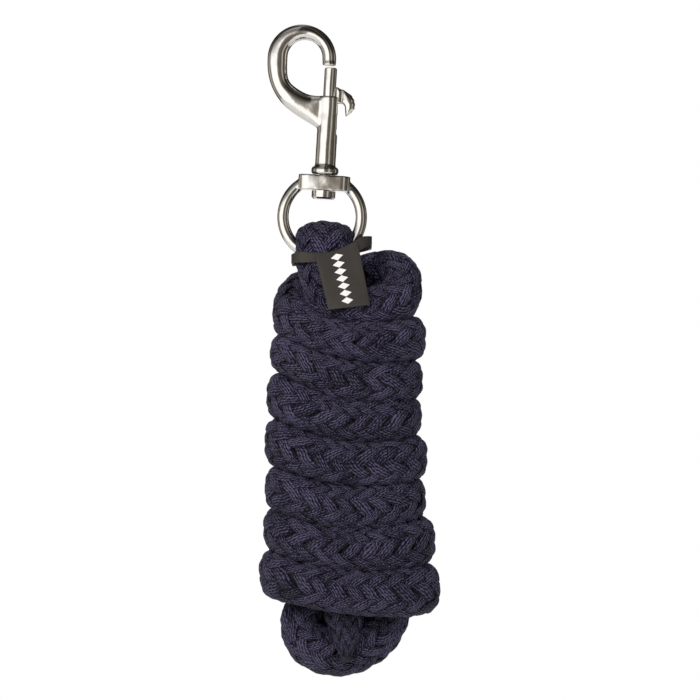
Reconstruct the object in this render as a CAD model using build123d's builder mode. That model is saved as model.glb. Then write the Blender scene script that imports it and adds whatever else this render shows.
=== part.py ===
"""Lead rope: a braided rope folded into a hank, on the swivel ring of a bolt snap.

Millimetres, +Z up. The origin is the centre of the hook's round opening, and the hook, the ring and
the folds of the hank lie about the XZ plane. The snap leans a little to the right of the hank, so the
snap's own pieces are drawn in snap_frame, whose Z runs up the barrel.
"""

import math
import os

from build123d import *

os.makedirs("parts", exist_ok=True)

# ---- Bolt snap, in its own leaning frame ----
snap_lean = 3.4
eye_radius = 8.7
hook_outer_radius = 17.2
hook_outer_centre = (-1.5, -0.8)
hook_depth = 7.2
hook_edge_radius = 2.9
tip_z = -3.6
tip_inner_x = 9.0
barrel_x = 13.3
barrel_radius = 5.2
barrel_top_z = -18.8
barrel_bottom_z = -54.0
flange_radius = 6.9
flange_height = 4.1
bore_radius = 3.22
bore_bottom_z = -49.0
pin_radius = 3.15
pin_top_z = -4.5
pin_bottom_z = -25.0
bolt_travel = 13.0
slot_width = 3.6
slot_bottom_z = -37.5
knob_width = 6.4
spring_wire = 0.8
spring_radius = 2.35
spring_turns = 11
end_gap = 0.15

# ---- Swivel and ring ----
swivel_gap = 0.25
collar_length = 26.0
collar_depth = 12.0
collar_height = 7.6
shank_radius = 2.5
shank_clearance = 0.08
shank_top_z = -51.0
rivet_head_radius = 6.0
rivet_head_height = 4.1
ring_radius = 19.6
wire_radius = 2.9
ring_centre_z = -79.1

# ---- Rope ----
rope_diameter = 20.0
eye_width = 25.2
eye_thickness = 13.8
eye_bend_radius = 10.7
leg_bottom_z = -121.0
stitch_radius = 0.6
stitch_back_y = 9.0
stitch_length = 26.2
seal_thickness = 2.5

# Cross-sections of the wrapped hank: height, middle in x, width and depth.
hank_sections = [
    (-121.0, 20.0, 56.0, 34.0),
    (-132.0, 22.0, 77.0, 54.0),
    (-150.0, 20.5, 78.5, 60.0),
    (-215.0, 20.2, 82.0, 60.0),
    (-258.0, 22.5, 91.0, 60.0),
    (-270.0, 22.5, 84.0, 50.0),
    (-276.0, 21.5, 68.0, 34.0),
]

# Routes of the loops that stand out of the wrapped hank.
top_loop_route = [
    (30.0, -6.0, -137.0),
    (41.0, -12.0, -129.0),
    (49.0, -10.0, -119.0),
    (50.0, 0.0, -110.5),
    (43.0, 11.0, -107.5),
    (30.0, 20.0, -108.0),
    (15.0, 23.0, -110.5),
    (1.0, 18.0, -115.0),
    (-7.0, 8.0, -122.0),
    (-8.0, -1.0, -132.0),
]
bottom_loop_route = [
    (2.0, 0.0, -262.0),
    (-4.0, 0.0, -274.0),
    (-1.5, 0.0, -287.5),
    (9.0, 0.0, -297.5),
    (22.0, 0.0, -300.5),
    (35.0, 0.0, -297.5),
    (44.5, 0.0, -287.5),
    (46.0, 0.0, -274.0),
    (40.0, 0.0, -262.0),
]
tail_x = 20.5
tail_top_z = -276.0
tail_bottom_z = -285.0
tail_radius = 9.0

# ---- Rubber tag ----
band_tilt = 12.0
band_centre = (13.4, 0.0, -97.2)
band_length = 40.0
band_depth = 41.2
band_corner = 9.0
band_height = 5.2
tag_thickness = 1.4
tag_width = 20.6
tag_length = 27.5
tag_top = (15.9, -19.2, -98.6)
tag_sideways = 13.6
tag_forward = 17.5
print_thickness = 0.25
print_pitch = 4.2
print_size = 2.6
print_count = 5

# ---- Planes of the leaning snap ----
snap_frame = Plane.XY.rotated((0, snap_lean, 0))
side_plane = Plane(origin=(0, 0, 0), x_dir=snap_frame.x_dir, z_dir=-snap_frame.y_dir)


def across_barrel(z):
    """The plane across the barrel at a height in the snap's own frame, centred on the barrel."""
    centre = snap_frame.from_local_coords(Vector(barrel_x, 0, z))
    return Plane(origin=centre, x_dir=snap_frame.x_dir, z_dir=snap_frame.z_dir)


def largest_radii(points):
    """The largest arc that each corner of a cord's route has room for."""
    radii = []
    for before, corner, after in zip(points, points[1:], points[2:]):
        arriving = Vector(corner) - Vector(before)
        leaving = Vector(after) - Vector(corner)
        half_turn = math.radians(arriving.get_angle(leaving)) / 2
        radii.append(0.45 * min(arriving.length, leaving.length) / math.tan(half_turn))
    return radii


def check_tube(name, part, section_area, length):
    """Prints a tube's volume beside its section times its length."""
    print(name, "volume", round(part.volume), "section x length", round(section_area * length))


# ---- Snap body: cast hook, barrel and flange ----
outer_x, outer_z = hook_outer_centre
with BuildPart() as hook:
    with BuildSketch(side_plane):
        with BuildLine():
            tip_outer = (outer_x + hook_outer_radius, outer_z)
            top_arc = ThreePointArc(
                tip_outer,
                (outer_x, outer_z + hook_outer_radius),
                (outer_x - hook_outer_radius, outer_z),
            )
            Spline(
                top_arc @ 1,
                (-16.4, -14.0),
                (-9.6, -24.0),
                (-1.2, -29.8),
                (9.5, -35.5),
                tangents=[(0, -1), (0.88, -0.47)],
            )
            Line((9.5, -35.5), (barrel_x, -35.5))
            Line((barrel_x, -35.5), (barrel_x, barrel_top_z))
            Line((barrel_x, barrel_top_z), (10.0, barrel_top_z))
            Spline(
                (10.0, barrel_top_z),
                (2.8, -18.3),
                (-4.3, -14.9),
                (-eye_radius, 0),
                tangents=[(-1, 0), (0, 1)],
            )
            inner_arc = ThreePointArc((-eye_radius, 0), (0, eye_radius), (eye_radius, 0))
            Line(inner_arc @ 1, (tip_inner_x, tip_z))
            Line((tip_inner_x, tip_z), (tip_outer[0], tip_z))
            Line((tip_outer[0], tip_z), tip_outer)
        make_face()
    extrude(amount=hook_depth / 2, both=True)
    flats = hook.faces().filter_by(Plane.XZ).sort_by(Axis.Y)
    rims = flats[0].edges() + flats[-1].edges()
    fillet([e for e in rims if e.geom_type != GeomType.LINE or e.length < 5], hook_edge_radius)

with BuildPart() as snap_body:
    add(hook)
    with BuildSketch(across_barrel(barrel_bottom_z)):
        Circle(barrel_radius)
    extrude(amount=barrel_top_z - barrel_bottom_z)
    with BuildSketch(across_barrel(barrel_bottom_z - flange_height)):
        Circle(flange_radius)
    extrude(amount=flange_height)
    flange_rims = snap_body.edges().filter_by(GeomType.CIRCLE)
    fillet([e for e in flange_rims if abs(e.radius - flange_radius) < 0.01], 1.4)
    with BuildSketch(across_barrel(bore_bottom_z)):
        Circle(bore_radius)
    extrude(amount=barrel_top_z - bore_bottom_z, mode=Mode.SUBTRACT)
    with BuildSketch(across_barrel(slot_bottom_z)):
        with Locations((barrel_radius / 2 + 1, 0)):
            Rectangle(barrel_radius + 2, slot_width)
    extrude(amount=barrel_top_z - slot_bottom_z + 1, mode=Mode.SUBTRACT)
    with BuildSketch(across_barrel(barrel_bottom_z - flange_height)):
        Circle(shank_radius)
    extrude(amount=shank_top_z - barrel_bottom_z + flange_height, mode=Mode.SUBTRACT)
snap_body.part.label = "snap_body"
export_step(snap_body.part, "parts/snap_body.step")

# ---- Sliding bolt ----
with BuildPart() as bolt_pin:
    with BuildSketch(across_barrel(pin_bottom_z)):
        Circle(pin_radius)
    extrude(amount=pin_top_z - pin_bottom_z)
    chamfer(bolt_pin.edges().group_by(SortBy.DISTANCE)[0], 0.5)
bolt_pin.part.label = "bolt_pin"
export_step(bolt_pin.part, "parts/bolt_pin.step")

# ---- Thumb knob: a neck through the slot, and a lever that curls down outside the barrel ----
with BuildPart() as thumb_knob:
    with BuildSketch(side_plane):
        with BuildLine():
            neck_top = Line((barrel_x + pin_radius, -13.2), (20.6, -15.3))
            back = Spline(
                neck_top @ 1,
                (24.6, -18.0),
                (26.4, -22.6),
                (22.0, -28.6),
                tangents=[(0.82, -0.57), (-0.8, -0.6)],
            )
            Polyline(back @ 1, (21.3, -23.4), (20.4, -22.2), (barrel_x + pin_radius, -22.2))
            Line((barrel_x + pin_radius, -22.2), neck_top @ 0)
        make_face()
    extrude(amount=knob_width / 2, both=True)
    with BuildSketch(side_plane):
        with BuildLine():
            Polyline(
                (barrel_x + pin_radius, -10.0),
                (19.6, -10.0),
                (19.6, -23.4),
                (barrel_x + pin_radius, -23.4),
                close=True,
            )
        make_face()
    neck_half = slot_width / 2 - 0.15
    extrude(amount=knob_width, both=True, mode=Mode.SUBTRACT)
    with BuildSketch(side_plane):
        with BuildLine():
            Polyline(
                (barrel_x + pin_radius, -13.6),
                (19.7, -15.2),
                (19.7, -22.2),
                (barrel_x + pin_radius, -22.2),
                close=True,
            )
        make_face()
    extrude(amount=neck_half, both=True)
    with BuildSketch(across_barrel(pin_bottom_z)):
        Circle(pin_radius)
    extrude(amount=pin_top_z - pin_bottom_z, mode=Mode.SUBTRACT)
thumb_knob.part.label = "thumb_knob"
export_step(thumb_knob.part, "parts/thumb_knob.step")

# ---- Coil spring under the bolt ----
spring_room = pin_bottom_z - bore_bottom_z - 2 * end_gap - spring_wire
with BuildPart() as bolt_spring:
    spring_base = across_barrel(bore_bottom_z + end_gap + spring_wire / 2)
    with BuildLine():
        coil = Helix(
            spring_room / spring_turns,
            spring_room,
            spring_radius,
            center=spring_base.origin,
            direction=spring_base.z_dir,
        )
    with BuildSketch(Plane(origin=coil @ 0, z_dir=coil % 0)):
        Circle(spring_wire / 2)
    sweep(path=coil, is_frenet=True)
bolt_spring.part.label = "bolt_spring"
export_step(bolt_spring.part, "parts/bolt_spring.step")

# ---- Swivel rivet: its shank is fixed in the barrel, and its head carries the ring's collar ----
flange_bottom_z = barrel_bottom_z - flange_height
collar_top_z = flange_bottom_z - swivel_gap
collar_bottom_z = collar_top_z - collar_height
head_top_z = collar_bottom_z - swivel_gap
with BuildPart() as swivel_rivet:
    with BuildSketch(across_barrel(head_top_z)):
        Circle(shank_radius)
    extrude(amount=shank_top_z - head_top_z)
    with BuildSketch(across_barrel(head_top_z)):
        Circle(rivet_head_radius)
    extrude(amount=-rivet_head_height)
    head_rims = swivel_rivet.edges().filter_by(GeomType.CIRCLE)
    chamfer(head_rims.sort_by(Axis.Z)[0], 0.9)
swivel_rivet.part.label = "swivel_rivet"
export_step(swivel_rivet.part, "parts/swivel_rivet.step")

# ---- Ring with its collar ----
ring_centre = snap_frame.from_local_coords(Vector(barrel_x, 0, ring_centre_z))
open_half_angle = math.degrees(math.asin((collar_length / 2 - 3.0) / ring_radius))
ring_plane = Plane(origin=ring_centre, x_dir=snap_frame.x_dir, z_dir=-snap_frame.y_dir)
with BuildPart() as swivel_ring:
    with BuildLine(ring_plane):
        wire = CenterArc((0, 0), ring_radius, 90 + open_half_angle, 360 - 2 * open_half_angle)
    with BuildSketch(Plane(origin=wire @ 0, z_dir=wire % 0)):
        Circle(wire_radius)
    sweep(path=wire)
    with BuildSketch(across_barrel(collar_bottom_z)):
        RectangleRounded(collar_length, collar_depth, collar_depth / 2 - 1.2)
    extrude(amount=collar_height)
    with BuildSketch(across_barrel(collar_bottom_z)):
        Circle(shank_radius + shank_clearance)
    extrude(amount=collar_height, mode=Mode.SUBTRACT)
swivel_ring.part.label = "swivel_ring"
export_step(swivel_ring.part, "parts/swivel_ring.step")

# ---- Rope eye over the bottom of the ring ----
pivot = Vector(ring_centre.X, 0, ring_centre.Z - ring_radius)
with BuildPart() as rope_eye:
    with BuildLine(Plane(origin=pivot, x_dir=(0, 1, 0), z_dir=(1, 0, 0))) as eye_line:
        back_leg = Line((eye_bend_radius, leg_bottom_z - pivot.Z), (eye_bend_radius, 0))
        bend = CenterArc((0, 0), eye_bend_radius, 0, 180)
        front_leg = Line(bend @ 1, (-eye_bend_radius, leg_bottom_z - pivot.Z))
    with BuildSketch(Plane(origin=back_leg @ 0, x_dir=(1, 0, 0), z_dir=(0, 0, 1))) as eye_section:
        Ellipse(eye_width / 2, eye_thickness / 2)
    sweep(path=eye_line.wires()[0])
rope_eye.part.label = "rope_eye"
export_step(rope_eye.part, "parts/rope_eye.step")
check_tube("rope_eye", rope_eye.part, eye_section.sketch.area, eye_line.wires()[0].length)

# ---- Stitches that close the eye, hidden under the tag ----
with BuildPart() as eye_stitches:
    stitch_back = Vector(pivot.X + 5.0, stitch_back_y, -111.0)
    with BuildSketch(Plane(origin=stitch_back, x_dir=(1, 0, 0), z_dir=(0, -1, 0))):
        with GridLocations(4.0, 4.0, 2, 3):
            Circle(stitch_radius)
    extrude(amount=stitch_length)
eye_stitches.part.label = "eye_stitches"
export_step(eye_stitches.part, "parts/eye_stitches.step")

# ---- Wrapped hank: the closed outer shape of the turns ----
with BuildPart() as rope_hank:
    for height, middle, width, depth in hank_sections:
        with BuildSketch(Plane(origin=(middle, 0, height), z_dir=(0, 0, 1))):
            RectangleRounded(width, depth, depth / 2 - 1.0)
    loft(ruled=True)
rope_hank.part.label = "rope_hank"
export_step(rope_hank.part, "parts/rope_hank.step")


def rope_tube(name, route):
    """A round tube of the rope's own diameter along straight runs joined by tangent arcs."""
    radii = largest_radii(route)
    print(name, "radii", [round(r, 1) for r in radii])
    with BuildPart() as tube:
        with BuildLine() as line:
            FilletPolyline(*route, radius=radii)
        start = line.wires()[0]
        with BuildSketch(Plane(origin=start @ 0, z_dir=start % 0)) as section:
            Circle(rope_diameter / 2)
        sweep(path=start)
    tube.part.label = name
    export_step(tube.part, f"parts/{name}.step")
    check_tube(name, tube.part, section.sketch.area, start.length)


rope_tube("rope_top_loop", top_loop_route)
rope_tube("rope_bottom_loop", bottom_loop_route)

# ---- Tail end, tucked inside the bottom loop, and its melted seal ----
with BuildPart() as rope_tail:
    with BuildSketch(Plane(origin=(tail_x, 0, tail_bottom_z), z_dir=(0, 0, 1))):
        Circle(tail_radius)
    extrude(amount=tail_top_z - tail_bottom_z)
rope_tail.part.label = "rope_tail"
export_step(rope_tail.part, "parts/rope_tail.step")

with BuildPart() as tail_seal:
    with BuildSketch(Plane(origin=(tail_x, 0, tail_bottom_z), z_dir=(0, 0, -1))):
        Circle(tail_radius - 0.5)
    extrude(amount=seal_thickness)
    fillet(tail_seal.edges().sort_by(Axis.Z)[0], 1.5)
tail_seal.part.label = "tail_seal"
export_step(tail_seal.part, "parts/tail_seal.step")

# ---- Rubber tag: a band round the neck, and a flat pendant below it ----
tilt = math.radians(band_tilt)
band_plane = Plane(
    origin=band_centre,
    x_dir=(math.cos(tilt), 0, math.sin(tilt)),
    z_dir=(-math.sin(tilt), 0, math.cos(tilt)),
)
sideways = math.radians(tag_sideways)
forward = math.radians(tag_forward)
tag_across = Vector(math.cos(sideways), 0, math.sin(sideways))
tag_down = Vector(
    math.sin(sideways) * math.cos(forward),
    -math.sin(forward),
    -math.cos(sideways) * math.cos(forward),
)
tag_plane = Plane(origin=tag_top, x_dir=tag_across, z_dir=tag_across.cross(tag_down) * -1)
with BuildPart() as tag:
    with BuildSketch(band_plane.offset(-band_height / 2)):
        RectangleRounded(band_length, band_depth, band_corner)
        offset(amount=-tag_thickness, mode=Mode.SUBTRACT)
    extrude(amount=band_height)
    with BuildSketch(tag_plane):
        with Locations((0, -tag_length / 2)):
            RectangleRounded(tag_width, tag_length, 1.0)
    extrude(amount=tag_thickness)
tag.part.label = "tag"
export_step(tag.part, "parts/tag.step")

# ---- Generic printed motif: a column of small diamonds ----
with BuildPart() as tag_print:
    with BuildSketch(tag_plane.offset(tag_thickness)):
        with Locations((0, -tag_length / 2 - 1.0)):
            with GridLocations(0, print_pitch, 1, print_count):
                Rectangle(print_size, print_size, rotation=45)
    extrude(amount=print_thickness)
tag_print.part.label = "tag_print"
export_step(tag_print.part, "parts/tag_print.step")
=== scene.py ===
"""Looks of the lead rope: a braided rope wound into a hank, a nickel bolt snap and a rubber tag.

Everything is in metres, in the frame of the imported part. Routes and sizes are written in millimetres
and scaled by MM.
"""

import math

import bpy
import numpy as np
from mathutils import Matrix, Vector
from mathutils.kdtree import KDTree


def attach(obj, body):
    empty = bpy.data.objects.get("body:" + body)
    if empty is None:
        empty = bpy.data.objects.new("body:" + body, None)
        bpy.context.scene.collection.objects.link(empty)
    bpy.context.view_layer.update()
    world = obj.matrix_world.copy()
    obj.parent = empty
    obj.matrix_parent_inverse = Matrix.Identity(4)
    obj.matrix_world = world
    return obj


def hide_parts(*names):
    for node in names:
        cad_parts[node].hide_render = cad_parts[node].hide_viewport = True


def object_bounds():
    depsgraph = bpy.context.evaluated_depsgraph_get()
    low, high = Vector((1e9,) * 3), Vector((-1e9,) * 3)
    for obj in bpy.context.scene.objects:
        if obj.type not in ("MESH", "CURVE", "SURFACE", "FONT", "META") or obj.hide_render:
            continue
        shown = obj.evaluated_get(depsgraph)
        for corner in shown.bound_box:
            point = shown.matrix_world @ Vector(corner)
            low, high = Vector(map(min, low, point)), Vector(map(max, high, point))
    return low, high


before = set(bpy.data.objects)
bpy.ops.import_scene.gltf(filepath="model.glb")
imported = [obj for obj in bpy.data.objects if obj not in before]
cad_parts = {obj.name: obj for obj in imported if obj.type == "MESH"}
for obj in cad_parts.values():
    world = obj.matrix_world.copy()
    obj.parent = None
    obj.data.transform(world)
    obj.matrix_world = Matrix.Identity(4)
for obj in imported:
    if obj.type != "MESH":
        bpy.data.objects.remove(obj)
cad_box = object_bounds()

MM = 0.001
TINY = 1e-12

# ---- Camera ----
CAMERA_DISTANCE = 1.25
SENSOR_WIDTH = 36
VIEW_HEIGHT = 0.350
VIEW_CENTRE = (22.5 * MM, 0.0, -146.25 * MM)

# ---- Rope ----
ROPE_DIAMETER = 20 * MM
STRANDS_EACH_WAY = 12
LEAD = 93 * MM
STEP = 1.94 * MM
STRAND_HALF_WIDTH = 2.75 * MM
STRAND_HALF_THICKNESS = 1.25 * MM
WAVE_HEIGHT = 0.90 * MM
LEAST_HALF_HEIGHT = 8.8 * MM
MOST_HALF_HEIGHT = 13.3 * MM
TURN_HALF_THICKNESS = 10.2 * MM
EYE_HALF_WIDTH = 14.6 * MM
EYE_HALF_THICKNESS = 7.6 * MM
EYE_LENGTH = 62 * MM
# How far the rope's shape takes to blend from the flat oval over the ring, and to swell from its ends.
EYE_BLEND = 18 * MM
SEWN_TAPER = 8 * MM
SEWN_LEAST = 0.35
END_TAPER = 20 * MM
END_LEAST = 0.12
# How square the section is where turns lie level, and the slope at which a stretch counts as level.
SQUARENESS = 0.22
LEVEL_FROM, LEVEL_RANGE = 0.15, 0.35
# Turns count as above each other when they are this far apart along the rope, and this near sideways.
APART_ALONG = 3 * ROPE_DIAMETER
NEAR_SIDEWAYS = 7 * MM
LEAST_RISE = 0.6 * ROPE_DIAMETER
TURN_PRESS = 2.1 * MM
# How many points the height between turns, and the section's other numbers, are averaged over.
ROOM_SMOOTHING = 15
SECTION_SMOOTHING = 9
# How sharply a strand dips under its neighbours, and its length per step where it has its usual width.
WAVE_SHARPNESS = 1.45
WAVE_SMOOTHING = 3
STRAND_RUN = 1.42
STRAND_WIDTH_LIMITS = (0.75, 1.6)
# Unevenness of each strand: points between random values, and their size.
TURN_WANDER = (16, 0.03)
WAVE_WANDER = (9, 0.16)
WIDTH_WANDER = (9, 0.07)
# How far each strand's yarn pattern is moved along from the one before.
YARN_SHIFT = 0.37
YARNS = 5
PLIES = 4200.0
PLY_SLANT = 7.0
# A strand's cross-section, as shares of its half width and half thickness.
STRAND_PROFILE = np.array(
    [
        (-1.0, -0.25),
        (-0.72, 0.66),
        (-0.25, 0.98),
        (0.25, 0.98),
        (0.72, 0.66),
        (1.0, -0.25),
        (0.0, -0.9),
    ]
)

# From the sewn end behind the ring, over the ring's wire, down the front and round the top loop.
EYE_AND_TOP_LOOP = [
    (9.2, 9.6, -112.0),
    (9.6, 10.6, -103.5),
    (9.9, 10.7, -94.9),
    (9.9, 4.4, -88.6),
    (9.9, -4.4, -88.6),
    (9.7, -10.7, -94.9),
    (8.6, -11.6, -103.0),
    (8.0, -12.4, -110.0),
    (9.0, -13.6, -117.0),
    (13.0, -15.0, -123.0),
    (20.0, -15.6, -125.5),
    (29.0, -15.0, -125.5),
    (38.0, -13.5, -124.5),
    (46.5, -10.5, -121.5),
    (49.5, -4.5, -115.0),
    (46.0, 0.5, -109.0),
    (38.5, 4.0, -108.0),
    (29.5, 8.5, -108.6),
    (18.5, 15.5, -111.5),
    (7.0, 19.5, -116.0),
    (-2.0, 15.5, -119.5),
    (-6.0, 7.5, -124.5),
]

# Each turn of the hank: outer left edge, its height, outer right edge, its height, sag at the front.
TURNS = [
    (-16.5, -130.3, 61.0, -140.3, -7.5),
    (-18.0, -147.8, 59.5, -160.8, -7.5),
    (-20.0, -169.3, 59.0, -179.3, -7.0),
    (-21.0, -192.3, 61.8, -199.8, -6.0),
    (-20.8, -215.3, 61.0, -220.3, -6.5),
    (-21.5, -235.8, 65.8, -241.3, -6.0),
    (-23.5, -257.8, 68.5, -264.8, -3.5),
]
TURN_POINTS = 16
TURN_HALF_DEPTH = 20.0
EDGE_TO_LINE = 10.0
# A turn seen from above is an ellipse blunted by these powers, across and in depth.
BLUNT_ACROSS, BLUNT_DEEP = 0.72, 0.8
ROUTE_RESOLUTION = 16

# Behind the last turn, round the bottom loop, up and down inside the turns, and out as the tail.
BOTTOM_CORE_AND_TAIL = [
    (50.0, 14.0, -269.0),
    (34.0, 18.0, -272.0),
    (17.0, 15.0, -274.5),
    (3.0, 8.0, -276.5),
    (-3.0, 2.0, -281.5),
    (-1.5, 0.0, -289.0),
    (5.0, -0.5, -294.5),
    (14.5, -0.5, -297.4),
    (24.5, -0.5, -295.6),
    (34.0, -0.5, -290.4),
    (41.0, 0.0, -283.5),
    (43.5, 0.0, -275.0),
    (40.0, 0.0, -265.0),
    (34.0, 0.0, -252.0),
    (32.0, 0.0, -225.0),
    (31.5, 0.0, -190.0),
    (31.5, 1.0, -155.0),
    (32.5, 4.0, -139.0),
    (31.0, 8.0, -128.0),
    (22.5, 10.0, -123.0),
    (14.0, 8.0, -128.0),
    (11.5, 3.0, -139.0),
    (11.5, 0.0, -155.0),
    (12.0, 0.0, -190.0),
    (12.0, 0.0, -225.0),
    (14.0, -1.0, -250.0),
    (18.5, -4.0, -268.0),
    (20.0, -7.5, -282.0),
    (20.6, -11.0, -291.0),
    (20.8, -12.5, -299.0),
]

# ---- Snap ----
# The barrel's axis passes here (x, z) and leans to the right by this much.
AXIS_POINT = (8.586 * MM, -79.75 * MM)
LEAN = math.radians(3.4)
# Surfaces that face less to the front than this are walls, and the outline of a crowned flat.
WALL_FACING = 0.35
# The hook is crowned this far in from its outline, down to this share of its depth.
HOOK_CROWN_WIDTH, HOOK_CROWN_LEAST = 5.2 * MM, 0.42
KNOB_CROWN_WIDTH, KNOB_CROWN_LEAST = 2.6 * MM, 0.5
# The crown fades out towards the barrel: distance from its axis, and above the bolt's gap.
CROWN_FROM, CROWN_FADE = 5.4 * MM, 3.5 * MM
GAP_BELOW, GAP_FADE = 3.5 * MM, 1.5 * MM
GROOVE_DEPTH, GROOVE_PITCH = 0.18 * MM, 2.2 * MM
GROOVES_FROM, GROOVES_FADE = 9 * MM, 3 * MM
# Mesh spacing of the remade castings, and how often their edges are smoothed.
CAST_VOXEL, KNOB_VOXEL = 0.42 * MM, 0.3 * MM
SNAP_PASSES, KNOB_PASSES, SWIVEL_PASSES = 14, 6, 8

# ---- Studio ----
AMBIENT = 0.18
LIGHT_TARGET = (0.02, 0, -0.15)
FLOOR_RADIUS = 1.0
FLOOR_DROP = 0.25
FLOOR_RIM = 96
# Brightness of what the metal reflects, round the room from straight behind the rope, by its left
# side (0.25), the camera (0.5) and its right side (0.75), back to behind it.
PANELS = [
    (0.00, 0.95),
    (0.045, 0.85),
    (0.07, 0.08),
    (0.15, 0.06),
    (0.21, 0.50),
    (0.25, 0.22),
    (0.28, 0.30),
    (0.30, 1.15),
    (0.375, 1.40),
    (0.484, 1.30),
    (0.498, 0.36),
    (0.516, 0.16),
    (0.583, 0.11),
    (0.605, 0.55),
    (0.630, 0.50),
    (0.645, 0.12),
    (0.764, 0.06),
    (0.786, 0.50),
    (0.811, 0.05),
    (0.93, 0.08),
    (0.955, 0.85),
    (1.00, 0.95),
]
# How much of it is left, from straight down (0) over level (0.5) to straight up (1).
CEILING = [(0.0, 0.55), (0.36, 1.0), (0.57, 1.0), (0.68, 0.36), (0.82, 0.12), (1.0, 0.30)]

random = np.random.default_rng(7)


# ---- Node helpers ----
def new_material(name):
    """A material with its Principled shader, and the tree to add nodes to."""
    material = bpy.data.materials.new(name)
    material.use_nodes = True
    tree = material.node_tree
    return material, tree, tree.nodes["Principled BSDF"]


def node(tree, kind, inputs=None, **settings):
    """Adds a node, with its settings and the values of its inputs."""
    made = tree.nodes.new(kind)
    for key, value in settings.items():
        setattr(made, key, value)
    for key, value in (inputs or {}).items():
        if isinstance(value, bpy.types.NodeSocket):
            tree.links.new(value, made.inputs[key])
        else:
            made.inputs[key].default_value = value
    return made


def maths(tree, operation, *values):
    """One Math node's result."""
    made = node(tree, "ShaderNodeMath", operation=operation)
    for place, value in enumerate(values):
        if isinstance(value, bpy.types.NodeSocket):
            tree.links.new(value, made.inputs[place])
        else:
            made.inputs[place].default_value = value
    return made.outputs[0]


def attribute(tree, name):
    """A named number stored on the mesh."""
    return node(tree, "ShaderNodeAttribute", attribute_name=name).outputs["Fac"]


def ramp(tree, value, stops):
    """A colour ramp with (place, colour) stops."""
    made = node(tree, "ShaderNodeValToRGB", {"Fac": value})
    while len(made.color_ramp.elements) < len(stops):
        made.color_ramp.elements.new(0.5)
    for element, (place, colour) in zip(made.color_ramp.elements, stops):
        element.position = place
        element.color = (*colour, 1.0)
    return made.outputs["Color"]


def position(tree):
    """The surface's place on the piece, which moves with it."""
    return node(tree, "ShaderNodeTexCoord").outputs["Object"]


def noise(tree, place, scale, detail):
    """Cloudy noise, from 0 to 1."""
    inputs = {"Vector": place, "Scale": scale, "Detail": detail}
    return node(tree, "ShaderNodeTexNoise", inputs).outputs["Fac"]


def scaled(tree, value, scale, base=None):
    """A value multiplied, and added to a base if one is given."""
    product = maths(tree, "MULTIPLY", value, scale)
    return product if base is None else maths(tree, "ADD", base, product)


def bumped(tree, shader, height, strength, distance):
    """Bends a shader's light by a height."""
    inputs = {"Height": height, "Strength": strength, "Distance": distance}
    bump = node(tree, "ShaderNodeBump", inputs)
    tree.links.new(bump.outputs[0], shader.inputs["Normal"])


def multiplied(tree, first, second):
    """One colour times another."""
    inputs = {"Factor": 1.0, 6: first, 7: second}
    settings = {"data_type": "RGBA", "blend_type": "MULTIPLY"}
    return node(tree, "ShaderNodeMix", inputs, **settings).outputs[2]


# ---- Mesh helpers ----
def new_piece(name, points, faces, material, body):
    """A smooth mesh piece that rides on a body."""
    mesh = bpy.data.meshes.new(name)
    mesh.from_pydata([tuple(p) for p in points], [], [tuple(f) for f in faces])
    mesh.validate()
    piece = bpy.data.objects.new(name, mesh)
    bpy.context.collection.objects.link(piece)
    mesh.polygons.foreach_set("use_smooth", [True] * len(mesh.polygons))
    mesh.materials.append(material)
    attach(piece, body)
    return piece


def units(vectors):
    """Each vector at length one."""
    return vectors / np.maximum(np.linalg.norm(vectors, axis=-1, keepdims=True), TINY)


def smoothed(values, width):
    """Values along a line, averaged over a moving window."""
    kernel = np.ones(width) / width
    padded = np.concatenate([[values[0]] * width, values, [values[-1]] * width])
    return np.convolve(padded, kernel, mode="same")[width:-width]


# ---- Camera ----
def make_camera():
    """A level camera in front of the hank, as far away as a product photographer stands."""
    data = bpy.data.cameras.new("camera")
    data.sensor_width = SENSOR_WIDTH
    data.lens = data.sensor_width * CAMERA_DISTANCE / VIEW_HEIGHT
    camera = bpy.data.objects.new("camera", data)
    bpy.context.collection.objects.link(camera)
    camera.location = (VIEW_CENTRE[0], -CAMERA_DISTANCE, VIEW_CENTRE[2])
    camera.rotation_euler = (math.radians(90), 0, 0)
    bpy.context.scene.camera = camera


make_camera()


# ---- Rope route ----
def turn_points():
    """The turns of the hank, from the left shoulder down to the right end of the last turn."""
    points = []
    for number, (left, left_z, right, right_z, sag) in enumerate(TURNS):
        following = TURNS[min(number + 1, len(TURNS) - 1)]
        for step in range(TURN_POINTS):
            angle = math.pi + 2 * math.pi * step / TURN_POINTS
            at_front = step <= TURN_POINTS // 2
            if not at_front and number == len(TURNS) - 1:
                break
            low_x = (left if at_front else following[0]) + EDGE_TO_LINE
            high_x = right - EDGE_TO_LINE
            across = math.copysign(abs(math.cos(angle)) ** BLUNT_ACROSS, math.cos(angle))
            deep = math.copysign(abs(math.sin(angle)) ** BLUNT_DEEP, math.sin(angle))
            share = (1 + across) / 2
            low_z = left_z if at_front else following[1]
            droop = sag * math.sin(math.pi * share) if at_front else 0
            z = low_z + (right_z - low_z) * share + droop
            points.append((low_x + (high_x - low_x) * share, deep * TURN_HALF_DEPTH, z))
    return points


def spline_line(points):
    """The points along a smooth spline whose control points these are, as Blender draws it."""
    data = bpy.data.curves.new("rope_route", "CURVE")
    data.dimensions = "3D"
    spline = data.splines.new("NURBS")
    spline.points.add(len(points) - 1)
    for control, point in zip(spline.points, points):
        control.co = (*[v * MM for v in point], 1.0)
    spline.order_u = 3
    spline.use_endpoint_u = True
    data.resolution_u = ROUTE_RESOLUTION
    bare = bpy.data.objects.new("rope_route", data)
    mesh = bpy.data.meshes.new_from_object(bare)
    line = np.array([v.co for v in mesh.vertices])
    bpy.data.meshes.remove(mesh)
    bpy.data.curves.remove(data)
    return line


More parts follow.
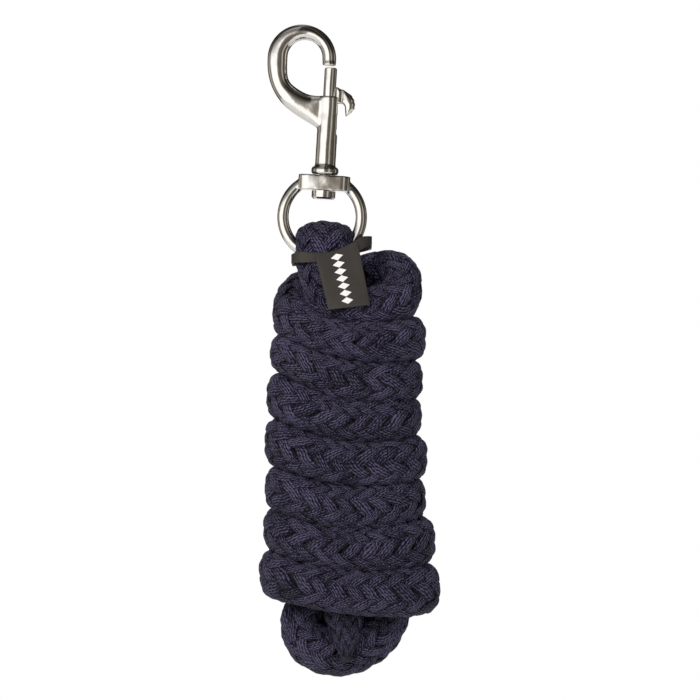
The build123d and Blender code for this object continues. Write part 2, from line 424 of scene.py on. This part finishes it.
def evenly(line, step):
    """The line again, with evenly spaced points, and how far along each one is."""
    along = np.concatenate([[0], np.cumsum(np.linalg.norm(np.diff(line, axis=0), axis=1))])
    at = np.linspace(0, along[-1], int(along[-1] / step) + 1)
    return np.stack([np.interp(at, along, line[:, k]) for k in range(3)], axis=1), at


def frames_along(line):
    """Tangents and untwisted side vectors along a line, by double reflection."""
    tangents = units(np.gradient(line, axis=0))
    sides = np.zeros_like(line)
    sides[0] = units(np.cross(tangents[0], (0, 1, 0)) + 1e-9)
    for i in range(len(line) - 1):
        step = line[i + 1] - line[i]
        length = step @ step
        side = sides[i] - step * (2 / length) * (step @ sides[i])
        tangent = tangents[i] - step * (2 / length) * (step @ tangents[i])
        turn = tangents[i + 1] - tangent
        sides[i + 1] = side - turn * (2 / max(turn @ turn, TINY)) * (turn @ side)
    return tangents, units(sides)


def room_between_turns(line, at):
    """Half the height left for the rope at each point, between the turns above and below it."""
    apart = np.abs(at[:, None] - at[None, :]) > APART_ALONG
    sideways = np.linalg.norm(line[:, None, :2] - line[None, :, :2], axis=2)
    rise = np.abs(line[:, None, 2] - line[None, :, 2])
    above = apart & (sideways < NEAR_SIDEWAYS) & (rise > LEAST_RISE)
    rise = np.where(above, rise, 1.0)
    half = np.clip(rise.min(1) / 2 + TURN_PRESS, LEAST_HALF_HEIGHT, MOST_HALF_HEIGHT)
    return smoothed(half, ROOM_SMOOTHING)


class Section:
    """The rope's outer shape at each point of its line: a soft square where turns press on each
    other, a wide flat oval over the ring, and a circle where it runs up and down."""

    def __init__(self, line, at):
        tangents, sides = frames_along(line)
        ups = np.cross(tangents, sides)
        over_ring = np.clip((EYE_LENGTH - at) / EYE_BLEND, 0, 1)[:, None]
        wanted = over_ring * np.array([1.0, 0, 0]) + (1 - over_ring) * np.array([0, 0, 1.0])
        level = 1 - np.abs((units(wanted) * tangents).sum(1))
        level = smoothed(np.clip((level - LEVEL_FROM) / LEVEL_RANGE, 0, 1), SECTION_SMOOTHING)
        first = units(wanted - (wanted * tangents).sum(1)[:, None] * tangents)
        over_ring = smoothed(over_ring[:, 0], SECTION_SMOOTHING)
        from_tip = np.clip((at[-1] - at) / END_TAPER, END_LEAST, 1)
        ease = np.clip(at / SEWN_TAPER, SEWN_LEAST, 1) * np.sqrt(from_tip)
        radius = ROPE_DIAMETER / 2
        self.line = line
        self.first = first
        self.second = np.cross(tangents, first)
        self.offset = np.arctan2((first * ups).sum(1), (first * sides).sum(1))
        half_height = radius + level * (room_between_turns(line, at) - radius)
        half_depth = radius + level * (TURN_HALF_THICKNESS - radius)
        self.high = (half_height + over_ring * (EYE_HALF_WIDTH - half_height)) * ease
        self.deep = (half_depth + over_ring * (EYE_HALF_THICKNESS - half_depth)) * ease
        self.size = ease
        self.power = 1 - SQUARENESS * level * (1 - over_ring)

    def surface(self, angle, inset):
        """The place and the outward direction at an angle round the rope, at every point."""
        turned = angle - self.offset
        c, s = np.cos(turned), np.sin(turned)
        x = np.copysign(np.abs(c) ** self.power, c)
        y = np.copysign(np.abs(s) ** self.power, s)
        outward = units(
            self.first * (c / self.high)[:, None] + self.second * (s / self.deep)[:, None]
        )
        place = self.line + self.first * (x * self.high)[:, None]
        place = place + self.second * (y * self.deep)[:, None] - outward * inset
        return place, outward


def wander(count, scale, amount):
    """Smooth random numbers along a line."""
    knots = random.normal(0, amount, max(4, count // scale + 2))
    return np.interp(np.arange(count), np.linspace(0, count, len(knots)), knots)


def braid(name, line, at, material):
    """A two-over-two braid on the rope's outer shape: every strand is a tube of its own."""
    section = Section(line, at)
    count = len(line)
    ring = len(STRAND_PROFILE)
    points, faces, across, along, tone, lift = [], [], [], [], [], []
    for way in (1, -1):
        for number in range(STRANDS_EACH_WAY):
            turn = 2 * math.pi * number / STRANDS_EACH_WAY + wander(count, *TURN_WANDER)
            angle = turn + way * 2 * math.pi * at / LEAD
            wave = np.sin(angle * STRANDS_EACH_WAY / 2 + math.pi / 4)
            wave = way * np.clip(WAVE_SHARPNESS * wave, -1, 1)
            wave = smoothed(wave, WAVE_SMOOTHING) + wander(count, *WAVE_WANDER)
            width = STRAND_HALF_WIDTH * (1 + wander(count, *WIDTH_WANDER)) * section.size
            inset = (STRAND_HALF_THICKNESS + WAVE_HEIGHT) * section.size
            place, outward = section.surface(angle, inset[:, None])
            place = place + outward * (wave * WAVE_HEIGHT * section.size)[:, None]
            run = np.gradient(place, axis=0)
            stretch = np.linalg.norm(run, axis=1) / (STRAND_RUN * STEP)
            width = width * np.clip(stretch, *STRAND_WIDTH_LIMITS)
            strand_way = units(run)
            outward = units(outward - (outward * strand_way).sum(1)[:, None] * strand_way)
            flat = np.cross(strand_way, outward)
            thick = STRAND_HALF_THICKNESS * section.size
            start = len(points) * count * ring
            rings = place[:, None, :] + flat[:, None, :] * (
                STRAND_PROFILE[None, :, 0:1] * width[:, None, None]
            )
            rings = rings + outward[:, None, :] * (
                STRAND_PROFILE[None, :, 1:2] * thick[:, None, None]
            )
            points.append(rings.reshape(-1, 3))
            corner = np.arange(count - 1)[:, None] * ring + np.arange(ring)[None, :]
            beside = np.arange(count - 1)[:, None] * ring + (np.arange(ring)[None, :] + 1) % ring
            quads = np.stack([corner, beside, beside + ring, corner + ring], axis=-1)
            faces.append(quads.reshape(-1, 4)[:, ::-1] + start)
            across.append(np.tile(STRAND_PROFILE[:, 0], count))
            along.append(np.repeat(at + number * YARN_SHIFT, ring))
            tone.append(np.full(count * ring, random.random()))
            # Each point's height on the braid; the rope material paints shade on the low parts from
            # it.
            lift.append(np.repeat(wave, ring) + np.tile(STRAND_PROFILE[:, 1], count))
    ends = []
    for strand in range(2 * STRANDS_EACH_WAY):
        first = strand * count * ring
        ends.append(list(range(first, first + ring)))
        ends.append(list(range(first + (count - 1) * ring, first + count * ring))[::-1])
    mesh = bpy.data.meshes.new(name)
    faces = np.concatenate(faces).tolist() + ends
    mesh.from_pydata(np.concatenate(points).tolist(), [], faces)
    stored = (("across", across), ("along", along), ("tone", tone), ("lift", lift))
    for label, values in stored:
        numbers = mesh.attributes.new(label, "FLOAT", "POINT")
        numbers.data.foreach_set("value", np.concatenate(values).astype(np.float32))
    mesh.polygons.foreach_set("use_smooth", [True] * len(mesh.polygons))
    mesh.materials.append(material)
    piece = bpy.data.objects.new(name, mesh)
    bpy.context.collection.objects.link(piece)
    return piece


def rope_material():
    """Dark navy polypropylene: twisted yarns along every strand, matte, with painted shade in the
    grooves between yarns and where strands dip under their neighbours.
    """
    material, tree, shader = new_material("rope")
    across = attribute(tree, "across")
    along = attribute(tree, "along")
    tone = attribute(tree, "tone")
    lift = attribute(tree, "lift")
    place = position(tree)
    bent = scaled(tree, noise(tree, place, 160.0, 2.0), 0.9, across)
    yarns = maths(tree, "ABSOLUTE", maths(tree, "SINE", scaled(tree, bent, YARNS * math.pi / 2)))
    slant = scaled(tree, bent, PLY_SLANT, scaled(tree, along, PLIES))
    plies = scaled(tree, maths(tree, "SINE", slant), 0.5, 0.5)
    grain = noise(tree, place, 1500.0, 2.0)
    clouds = noise(tree, place, 60.0, 2.0)
    mixed = 0.5
    # The colour mixes yarn ridges (painted shade in the grooves between them), plies, grain, clouds,
    # each strand's tone and its lift (painted shade where a strand sinks).
    for value, middle, amount in (
        (yarns, 0.62, 0.40),
        (plies, 0.5, 0.15),
        (grain, 0.5, 1.05),
        (clouds, 0.5, 0.25),
        (tone, 0.5, 0.10),
        (lift, 1.1, 0.08),
    ):
        mixed = scaled(tree, maths(tree, "SUBTRACT", value, middle), amount, mixed)
    colour = ramp(
        tree,
        mixed,
        [
            (0.27, (0.0005, 0.0004, 0.0012)),
            (0.50, (0.0108, 0.0090, 0.0198)),
            (0.76, (0.090, 0.079, 0.140)),
        ],
    )
    # Painted shade: the colour is darkened to about an eighth where a strand's lift is low, under its
    # neighbours.
    sunk_strand_painted_shade = node(
        tree,
        "ShaderNodeMapRange",
        {"Value": lift, "From Min": -0.7, "From Max": 1.3, "To Min": 0.12, "To Max": 1.0},
    ).outputs[0]
    tree.links.new(multiplied(tree, colour, sunk_strand_painted_shade), shader.inputs["Base Color"])
    tree.links.new(scaled(tree, grain, 0.3, 0.55), shader.inputs["Roughness"])
    height = scaled(tree, grain, 0.8, scaled(tree, plies, 0.45, yarns))
    bumped(tree, shader, height, 1.0, 0.4 * MM)
    shader.inputs["Sheen Weight"].default_value = 0.05
    shader.inputs["Sheen Roughness"].default_value = 0.5
    shader.inputs["Sheen Tint"].default_value = (0.75, 0.72, 0.9, 1.0)
    shader.inputs["Specular IOR Level"].default_value = 0.18
    return material


rope_look = rope_material()
route = EYE_AND_TOP_LOOP + turn_points() + BOTTOM_CORE_AND_TAIL
rope_line, rope_at = evenly(spline_line(route), STEP)
rope = braid("rope", rope_line, rope_at, rope_look)
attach(rope, "rope")
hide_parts("rope_eye", "rope_top_loop", "rope_hank", "rope_bottom_loop", "rope_tail")


# ---- Tag ----
# The band round the rope's neck, seen from the front: x, upper edge, lower edge.
BAND_FRONT = [
    (-6.6, -98.9, -103.4),
    (-3.0, -97.6, -103.2),
    (3.5, -98.3, -103.2),
    (8.5, -98.4, -102.5),
    (13.5, -97.8, -101.5),
    (19.0, -95.8, -100.0),
    (25.0, -92.6, -98.8),
    (28.0, -90.3, -97.0),
    (33.4, -89.9, -94.0),
]
BAND_MIDDLE_X = 13.4
BAND_LENGTH = 40.0
BAND_DEPTH = 41.2
BAND_CORNER = 9.0
BAND_HALF_HEIGHT = 2.6
BAND_MIDDLE_Z = -97.2
BAND_RISE = math.tan(math.radians(12))
# The band takes its front edges at this depth and further forward, and its back edges at the opposite.
BAND_BLEND_DEPTH = 8.0
BAND_ROWS = 5
CORNER_POINTS, SIDE_POINTS = 9, 12
TAG_THICKNESS = 1.7
TAG_EDGE_RADIUS = 0.3
# The hanging part's corners: upper left, upper right, lower left, lower right.
PENDANT = [
    (5.0, -20.7, -98.3),
    (26.0, -20.65, -92.0),
    (12.0, -27.6, -126.6),
    (32.4, -27.6, -124.2),
]
PENDANT_COLUMNS, PENDANT_ROWS = 9, 13
# How far the hanging part bulges forward, across its width and down its length.
PENDANT_BULGE = (0.7, 0.9)
# The print: how many lozenges, from where to where down the middle line, their half sizes as shares
# of the hanging part, and how far they stand out of the rubber and reach into it.
PRINT_COUNT = 7
PRINT_MIDDLE = 0.49
PRINT_FROM, PRINT_RUN = 0.12, 0.76
LOZENGE_HALF_WIDTH, LOZENGE_HALF_HEIGHT = 0.14, 0.058
PRINT_LIFTS = (0.22, -0.05)


def closed_sheet(name, outer, inner, joined, material):
    """A sheet between an outer and an inner grid of points, joined end to end or not."""
    rows, columns = outer.shape[:2]
    points = np.concatenate([outer.reshape(-1, 3), inner.reshape(-1, 3)]) * MM
    half = rows * columns
    faces = []
    last = columns if joined else columns - 1
    for r in range(rows - 1):
        for c in range(last):
            d = (c + 1) % columns
            here, below = r * columns, (r + 1) * columns
            quad = (here + c, below + c, below + d, here + d)
            faces.append(quad)
            faces.append(tuple(half + v for v in reversed(quad)))
    for r, order in ((0, 1), (rows - 1, -1)):
        for c in range(last):
            d = (c + 1) % columns
            a, b = r * columns + c, r * columns + d
            faces.append((a, b, half + b, half + a)[::order])
    if not joined:
        for c, order in ((0, -1), (columns - 1, 1)):
            for r in range(rows - 1):
                a, b = r * columns + c, (r + 1) * columns + c
                faces.append((a, b, half + b, half + a)[::order])
    piece = new_piece(name, points, faces, material, "rope")
    rounding = piece.modifiers.new("rounding", "BEVEL")
    rounding.width = TAG_EDGE_RADIUS * MM
    rounding.segments = 2
    rounding.limit_method = "ANGLE"
    rounding.angle_limit = math.radians(50)
    return piece


def band_outline(inset):
    """The band from above: a rectangle with round corners, clockwise from its left front corner."""
    radius = BAND_CORNER - inset
    reach_x = BAND_LENGTH / 2 - BAND_CORNER
    reach_y = BAND_DEPTH / 2 - BAND_CORNER
    outline = []
    for quarter, (way_x, way_y) in enumerate(((-1, -1), (1, -1), (1, 1), (-1, 1))):
        start = math.pi + quarter * math.pi / 2
        for step in range(CORNER_POINTS):
            angle = start + step * math.pi / 2 / (CORNER_POINTS - 1)
            x = BAND_MIDDLE_X + way_x * reach_x + radius * math.cos(angle)
            outline.append((x, way_y * reach_y + radius * math.sin(angle)))
        ahead = [(1, 0), (0, 1), (-1, 0), (0, -1)][quarter]
        length = 2 * (reach_x if ahead[0] else reach_y)
        corner = outline[-1]
        for step in range(1, SIDE_POINTS):
            share = step / SIDE_POINTS * length
            outline.append((corner[0] + ahead[0] * share, corner[1] + ahead[1] * share))
    return outline


def band_grid(inset):
    """The band's surface, in rows from its upper to its lower edge."""
    front = np.array(BAND_FRONT)
    grid = []
    for share in np.linspace(0, 1, BAND_ROWS):
        row = []
        for x, y in band_outline(inset):
            top = np.interp(x, front[:, 0], front[:, 1])
            low = np.interp(x, front[:, 0], front[:, 2])
            middle = BAND_MIDDLE_Z + BAND_RISE * (x - BAND_MIDDLE_X)
            ahead = np.clip(0.5 - y / (2 * BAND_BLEND_DEPTH), 0, 1)
            top = ahead * top + (1 - ahead) * (middle + BAND_HALF_HEIGHT)
            low = ahead * low + (1 - ahead) * (middle - BAND_HALF_HEIGHT)
            row.append((x, y, top + (low - top) * share))
        grid.append(row)
    return np.array(grid)


def pendant_point(across, down, lift):
    """A place on the hanging part: across and down from 0 to 1, lifted towards the front."""
    corners = np.array(PENDANT)
    front = np.array(BAND_FRONT)
    upper = corners[0] + (corners[1] - corners[0]) * across
    upper[2] = np.interp(upper[0], front[:, 0], front[:, 1])
    lower = corners[2] + (corners[3] - corners[2]) * across
    place = upper + (lower - upper) * down
    across_bulge, down_bulge = PENDANT_BULGE
    bulge = across_bulge * math.sin(math.pi * across) * down + down_bulge * math.sin(math.pi * down)
    return place + np.array([0, -bulge - lift, 0])


def pendant_grid(lift):
    """The hanging part's surface."""
    columns = np.linspace(0, 1, PENDANT_COLUMNS)
    rows = np.linspace(0, 1, PENDANT_ROWS)
    return np.array([[pendant_point(a, d, lift) for a in columns] for d in rows])


def rubber_material():
    """Warm dark grey moulded rubber with a fine matte grain."""
    material, tree, shader = new_material("tag_rubber")
    place = position(tree)
    grain = noise(tree, place, 2600.0, 2.0)
    clouds = noise(tree, place, 120.0, 2.0)
    mixed = scaled(tree, clouds, 0.5, scaled(tree, grain, 0.5))
    colour = ramp(tree, mixed, [(0.3, (0.028, 0.025, 0.022)), (0.7, (0.042, 0.037, 0.032))])
    tree.links.new(colour, shader.inputs["Base Color"])
    tree.links.new(scaled(tree, grain, 0.25, 0.42), shader.inputs["Roughness"])
    bumped(tree, shader, grain, 0.4, 0.08 * MM)
    return material


def print_material():
    """White raised print, slightly uneven."""
    material, tree, shader = new_material("tag_print")
    wear = noise(tree, position(tree), 900.0, 2.0)
    colour = ramp(tree, wear, [(0.2, (0.74, 0.73, 0.71)), (0.8, (0.88, 0.87, 0.85))])
    tree.links.new(colour, shader.inputs["Base Color"])
    tree.links.new(scaled(tree, wear, 0.2, 0.4), shader.inputs["Roughness"])
    return material


def make_print(material):
    """A column of plain lozenges down the hanging part."""
    points, faces = [], []
    shape = [
        (0.0, -LOZENGE_HALF_HEIGHT),
        (LOZENGE_HALF_WIDTH, 0.0),
        (0.0, LOZENGE_HALF_HEIGHT),
        (-LOZENGE_HALF_WIDTH, 0.0),
    ]
    for number in range(PRINT_COUNT):
        down = PRINT_FROM + PRINT_RUN * number / (PRINT_COUNT - 1)
        start = len(points)
        for lift in PRINT_LIFTS:
            for across, along in shape:
                points.append(pendant_point(PRINT_MIDDLE + across, down + along, lift) * MM)
        faces.append([start + v for v in (0, 1, 2, 3)])
        faces.append([start + v for v in (7, 6, 5, 4)])
        for a in range(4):
            b = (a + 1) % 4
            faces.append([start + a, start + 4 + a, start + 4 + b, start + b])
    piece = new_piece("tag_lozenges", points, faces, material, "rope")
    piece.data.polygons.foreach_set("use_smooth", [False] * len(piece.data.polygons))
    return piece


rubber = rubber_material()
band = closed_sheet("tag_band", band_grid(0), band_grid(TAG_THICKNESS), True, rubber)
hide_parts("tag")
closed_sheet(
    "tag_pendant", pendant_grid(0)[:, ::-1], pendant_grid(-TAG_THICKNESS)[:, ::-1], False, rubber
)
lozenges = make_print(print_material())
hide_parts("tag_print")


# ---- Stitches that close the eye ----
STITCH_HEIGHTS = (-102.0, -105.0, -108.0, -111.0)
STITCH_FROM, STITCH_TO = 4.5, 14.5
THREAD_RADIUS = 0.62
THREAD_AROUND = 10
STITCH_STEPS = 12
# How deep behind the eye's middle the stitches start, and how far they arch out of the rope.
STITCH_DEPTH, STITCH_ARCH = 16.9, 1.9


def thread_material():
    """Waxed black thread."""
    material, tree, shader = new_material("thread")
    twist = node(
        tree, "ShaderNodeTexWave", {"Vector": position(tree), "Scale": 700.0, "Distortion": 1.5}
    ).outputs["Fac"]
    colour = ramp(tree, twist, [(0.0, (0.004, 0.004, 0.006)), (1.0, (0.022, 0.021, 0.028))])
    tree.links.new(colour, shader.inputs["Base Color"])
    tree.links.new(scaled(tree, twist, 0.2, 0.38), shader.inputs["Roughness"])
    bumped(tree, shader, twist, 0.6, 0.15 * MM)
    return material


def tube(path, radius, around):
    """Points and faces of a round closed tube along a path."""
    path = np.array(path)
    tangents, sides = frames_along(path)
    ups = np.cross(tangents, sides)
    angles = np.linspace(0, 2 * math.pi, around, endpoint=False)
    turned = angles[None, :, None]
    flat = sides[:, None] * np.cos(turned) + ups[:, None] * np.sin(turned)
    points = (path[:, None] + flat * radius).reshape(-1, 3)
    faces = [tuple(range(around))[::-1]]
    for r in range(len(path) - 1):
        for a in range(around):
            b = (a + 1) % around
            here, further = r * around, (r + 1) * around
            faces.append((here + a, here + b, further + b, further + a))
    faces.append(tuple(range((len(path) - 1) * around, len(path) * around)))
    return points, faces


def make_stitches(material):
    """Cross stitches over the back of the eye, diving into the rope at both ends."""
    points, faces = [], []
    for lower, upper in zip(STITCH_HEIGHTS[1:], STITCH_HEIGHTS):
        for first, last in ((lower, upper), (upper, lower)):
            path = []
            for step in range(STITCH_STEPS + 1):
                share = step / STITCH_STEPS
                x = STITCH_FROM + (STITCH_TO - STITCH_FROM) * share
                y = STITCH_DEPTH + STITCH_ARCH * math.sin(math.pi * share) ** 0.5
                path.append((x * MM, y * MM, (first + (last - first) * share) * MM))
            more, sides = tube(path, THREAD_RADIUS * MM, THREAD_AROUND)
            faces.extend(tuple(len(points) + v for v in face) for face in sides)
            points.extend(more)
    piece = new_piece("eye_thread", points, faces, material, "rope")
    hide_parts("eye_stitches")


make_stitches(thread_material())


# ---- Melted end ----
SEAL_RADIUS = 3.9 * MM
SEAL_HALF_LENGTH = 1.9 * MM
SEAL_RINGS, SEAL_AROUND = 12, 28


def melted_material():
    """Rope melted to a dark glossy skin with bubbles."""
    material, tree, shader = new_material("melted_rope")
    lumps = noise(tree, position(tree), 420.0, 3.0)
    colour = ramp(tree, lumps, [(0.3, (0.006, 0.006, 0.010)), (0.75, (0.030, 0.028, 0.042))])
    tree.links.new(colour, shader.inputs["Base Color"])
    tree.links.new(scaled(tree, lumps, 0.4, 0.45), shader.inputs["Roughness"])
    shader.inputs["Specular IOR Level"].default_value = 0.2
    bumped(tree, shader, lumps, 0.8, 0.4 * MM)
    return material


def make_seal(material):
    """The rope's melted tip: a squashed lump that closes the strands."""
    centre = rope_line[-1]
    ahead = units(rope_line[-1] - rope_line[-4])
    side = units(np.cross(ahead, (0, 1, 0)))
    up = np.cross(side, ahead)
    points, faces = [], []
    for r in range(SEAL_RINGS + 1):
        polar = math.pi * r / SEAL_RINGS
        for a in range(SEAL_AROUND):
            angle = 2 * math.pi * a / SEAL_AROUND
            swell = 1 + 0.06 * math.sin(3 * angle + 2 * polar) + 0.04 * math.sin(5 * angle)
            flat = side * math.cos(angle) + up * math.sin(angle)
            out = flat * math.sin(polar) * SEAL_RADIUS * swell
            points.append(centre + out + ahead * math.cos(polar) * SEAL_HALF_LENGTH)
    for r in range(SEAL_RINGS):
        for a in range(SEAL_AROUND):
            b = (a + 1) % SEAL_AROUND
            here, below = r * SEAL_AROUND, (r + 1) * SEAL_AROUND
            faces.append((here + a, below + a, below + b, here + b))
    piece = new_piece("melted_tip", points, faces, material, "rope")
    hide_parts("tail_seal")


make_seal(melted_material())


# ---- Nickel ----
def nickel_material(name, grain):
    """Bright nickel plate over a casting: faint waviness, fine scratches and slightly uneven gloss."""
    material, tree, shader = new_material(name)
    place = position(tree)
    waves = noise(tree, place, 180.0, 2.0)
    fine = noise(tree, place, 1400.0, 3.0)
    colour = ramp(tree, waves, [(0.3, (0.76, 0.735, 0.70)), (0.7, (0.84, 0.82, 0.79))])
    tree.links.new(colour, shader.inputs["Base Color"])
    tree.links.new(scaled(tree, fine, grain, 0.05), shader.inputs["Roughness"])
    dents = noise(tree, place, 75.0, 1.0)
    height = scaled(tree, fine, 0.004, scaled(tree, waves, 0.1, dents))
    bumped(tree, shader, height, 0.5, 1.5 * MM)
    shader.inputs["Metallic"].default_value = 1.0
    return material


def evaluated(piece):
    """The piece's points and faces with its modifiers applied."""
    bpy.context.view_layer.update()
    seen = piece.evaluated_get(bpy.context.evaluated_depsgraph_get())
    mesh = bpy.data.meshes.new_from_object(seen)
    points = np.array([piece.matrix_world @ v.co for v in mesh.vertices])
    normals = np.array([v.normal for v in mesh.vertices])
    faces = [tuple(f.vertices) for f in mesh.polygons]
    bpy.data.meshes.remove(mesh)
    return points, normals, faces


def soft_copy(source, voxel):
    """An evenly meshed copy of a CAD node's surface."""
    copy = bpy.data.objects.new("soft_copy", source.data.copy())
    bpy.context.collection.objects.link(copy)
    copy.matrix_world = source.matrix_world.copy()
    remesh = copy.modifiers.new("even", "REMESH")
    remesh.mode = "VOXEL"
    remesh.voxel_size = voxel
    made = evaluated(copy)
    bpy.data.objects.remove(copy)
    return made


def barrel_side(points):
    """How far each point is to the right of the barrel's axis, seen from the front."""
    x = points[:, 0] - AXIS_POINT[0]
    z = points[:, 2] - AXIS_POINT[1]
    return x * math.cos(LEAN) - z * math.sin(LEAN)


def crown(points, normals, width, least, share):
    """Pulls flat front and back faces into a pillow, lower towards their outline."""
    walls = (np.abs(normals[:, 1]) < WALL_FACING) & (share > 0)
    tree = KDTree(int(walls.sum()))
    for i, (x, _, z) in enumerate(points[walls]):
        tree.insert((x, 0, z), i)
    tree.balance()
    away = np.array([tree.find((x, 0, z))[2] for x, _, z in points])
    low = 1 - np.clip(away / width, 0, 1)
    lifted = least + (1 - least) * np.sqrt(np.clip(1 - low**2, 0, 1))
    shaped = points.copy()
    shaped[:, 1] *= 1 + (lifted - 1) * share
    return shaped


def cast_piece(name, source, material, body, passes, voxel, shape=None):
    """A CAD node's casting with its edges worn soft, and its flats crowned if a shape is given."""
    points, normals, faces = soft_copy(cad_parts[source], voxel)
    if shape:
        points = shape(points, normals)
    piece = new_piece(name, points, faces, material, body)
    smooth = piece.modifiers.new("polish", "SMOOTH")
    smooth.factor = 0.5
    smooth.iterations = passes
    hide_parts(source)


def snap_shape(points, normals):
    """The hook's crescent is crowned, and the barrel beside it stays round."""
    side = barrel_side(points)
    above_gap = np.clip((points[:, 2] + GAP_BELOW) / GAP_FADE, 0, 1)
    share = np.maximum(np.clip((-side - CROWN_FROM) / CROWN_FADE, 0, 1), above_gap)
    return crown(points, normals, HOOK_CROWN_WIDTH, HOOK_CROWN_LEAST, share)


def knob_shape(points, normals):
    """The thumb knob is crowned, with shallow grooves for the thumb."""
    whole = np.ones(len(points))
    shaped = crown(points, normals, KNOB_CROWN_WIDTH, KNOB_CROWN_LEAST, whole)
    groove = np.sin(2 * math.pi * points[:, 2] / GROOVE_PITCH)
    outer = np.clip((barrel_side(points) - GROOVES_FROM) / GROOVES_FADE, 0, 1)
    shaped[:, 0] += GROOVE_DEPTH * groove * outer
    return shaped


nickel = nickel_material("nickel", 0.07)
worn_nickel = nickel_material("worn_nickel", 0.3)
cast_piece("snap_casting", "snap_body", nickel, "snap", SNAP_PASSES, CAST_VOXEL, snap_shape)
cast_piece("knob_casting", "thumb_knob", nickel, "bolt", KNOB_PASSES, KNOB_VOXEL, knob_shape)
cast_piece("swivel_casting", "swivel_ring", nickel, "ring", SWIVEL_PASSES, CAST_VOXEL)
for name in ("bolt_pin", "swivel_rivet"):
    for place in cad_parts[name].material_slots:
        place.material = nickel
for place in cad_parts["bolt_spring"].material_slots:
    place.material = worn_nickel


# ---- Stage ----
def make_floor():
    """A pale round floor far enough below the hanging rope to be out of the front view."""
    height = cad_box[0][2] - FLOOR_DROP
    points = [(VIEW_CENTRE[0], 0, height)]
    for step in range(FLOOR_RIM):
        angle = 2 * math.pi * step / FLOOR_RIM
        x, y = FLOOR_RADIUS * math.cos(angle), FLOOR_RADIUS * math.sin(angle)
        points.append((VIEW_CENTRE[0] + x, y, height))
    faces = [(0, 1 + step, 1 + (step + 1) % FLOOR_RIM) for step in range(FLOOR_RIM)]
    mesh = bpy.data.meshes.new("floor")
    mesh.from_pydata(points, [], faces)
    floor = bpy.data.objects.new("floor", mesh)
    bpy.context.collection.objects.link(floor)
    material, tree, shader = new_material("floor")
    grain = noise(tree, position(tree), 6.0, 3.0)
    colour = ramp(tree, grain, [(0.0, (0.78, 0.78, 0.78)), (1.0, (0.86, 0.86, 0.86))])
    tree.links.new(colour, shader.inputs["Base Color"])
    shader.inputs["Roughness"].default_value = 0.8
    mesh.materials.append(material)


def make_light(name, place, size, power, colour):
    """A soft area light that looks at the middle of the part."""
    data = bpy.data.lights.new(name, "AREA")
    data.shape = "RECTANGLE"
    data.size, data.size_y = size
    data.energy = power
    data.color = colour
    light = bpy.data.objects.new(name, data)
    bpy.context.collection.objects.link(light)
    light.location = place
    ahead = Vector(LIGHT_TARGET) - Vector(place)
    light.rotation_euler = ahead.to_track_quat("-Z", "Y").to_euler()
    light.visible_glossy = False
    light.visible_camera = False


def warm(brightness):
    """A grey that turns brown as it gets darker."""
    brown = 1 - min(brightness, 1.0)
    return brightness, brightness * (0.985 - 0.10 * brown), brightness * (0.965 - 0.24 * brown)


def make_world():
    """White to the camera, and a studio of bright panels and dark gaps in reflections."""
    world = bpy.data.worlds.new("studio")
    bpy.context.scene.world = world
    world.use_nodes = True
    tree = world.node_tree
    tree.nodes.clear()
    ways = node(tree, "ShaderNodeTexCoord").outputs["Generated"]
    parts = node(tree, "ShaderNodeSeparateXYZ", {"Vector": ways})
    turn = maths(tree, "ARCTAN2", parts.outputs["X"], scaled(tree, parts.outputs["Y"], -1.0))
    bands = maths(tree, "ADD", 0.5, maths(tree, "DIVIDE", turn, 2 * math.pi))
    panels = ramp(tree, bands, [(place, warm(v)) for place, v in PANELS])
    rise = scaled(tree, parts.outputs["Z"], 0.5, 0.5)
    shade = ramp(tree, rise, [(place, (v, v, v)) for place, v in CEILING])
    both = multiplied(tree, panels, shade)
    glossy = node(tree, "ShaderNodeBackground", {"Color": both, "Strength": 1.0})
    plain = node(tree, "ShaderNodeBackground", {"Color": (1, 1, 1, 1), "Strength": AMBIENT})
    seen = node(tree, "ShaderNodeBackground", {"Color": (1, 1, 1, 1), "Strength": 1.0})
    rays = node(tree, "ShaderNodeLightPath")
    lit = node(tree, "ShaderNodeMixShader", {"Fac": rays.outputs["Is Glossy Ray"]})
    tree.links.new(plain.outputs[0], lit.inputs[1])
    tree.links.new(glossy.outputs[0], lit.inputs[2])
    shown = node(tree, "ShaderNodeMixShader", {"Fac": rays.outputs["Is Camera Ray"]})
    tree.links.new(lit.outputs[0], shown.inputs[1])
    tree.links.new(seen.outputs[0], shown.inputs[2])
    output = node(tree, "ShaderNodeOutputWorld")
    tree.links.new(shown.outputs[0], output.inputs["Surface"])


make_floor()
make_world()
make_light("key", (-0.5, -0.9, 0.5), (0.5, 0.7), 12.5, (1.0, 0.98, 0.96))
make_light("fill", (0.7, -0.8, 0.1), (0.6, 0.8), 4.0, (0.96, 0.97, 1.0))
make_light("back", (0.5, 1.1, 0.45), (0.7, 0.7), 9.0, (1.0, 0.99, 0.98))
make_light("left_back", (-1.1, 0.7, 0.1), (0.6, 0.8), 5.0, (0.97, 0.98, 1.0))
bpy.context.scene.view_settings.view_transform = "Standard"
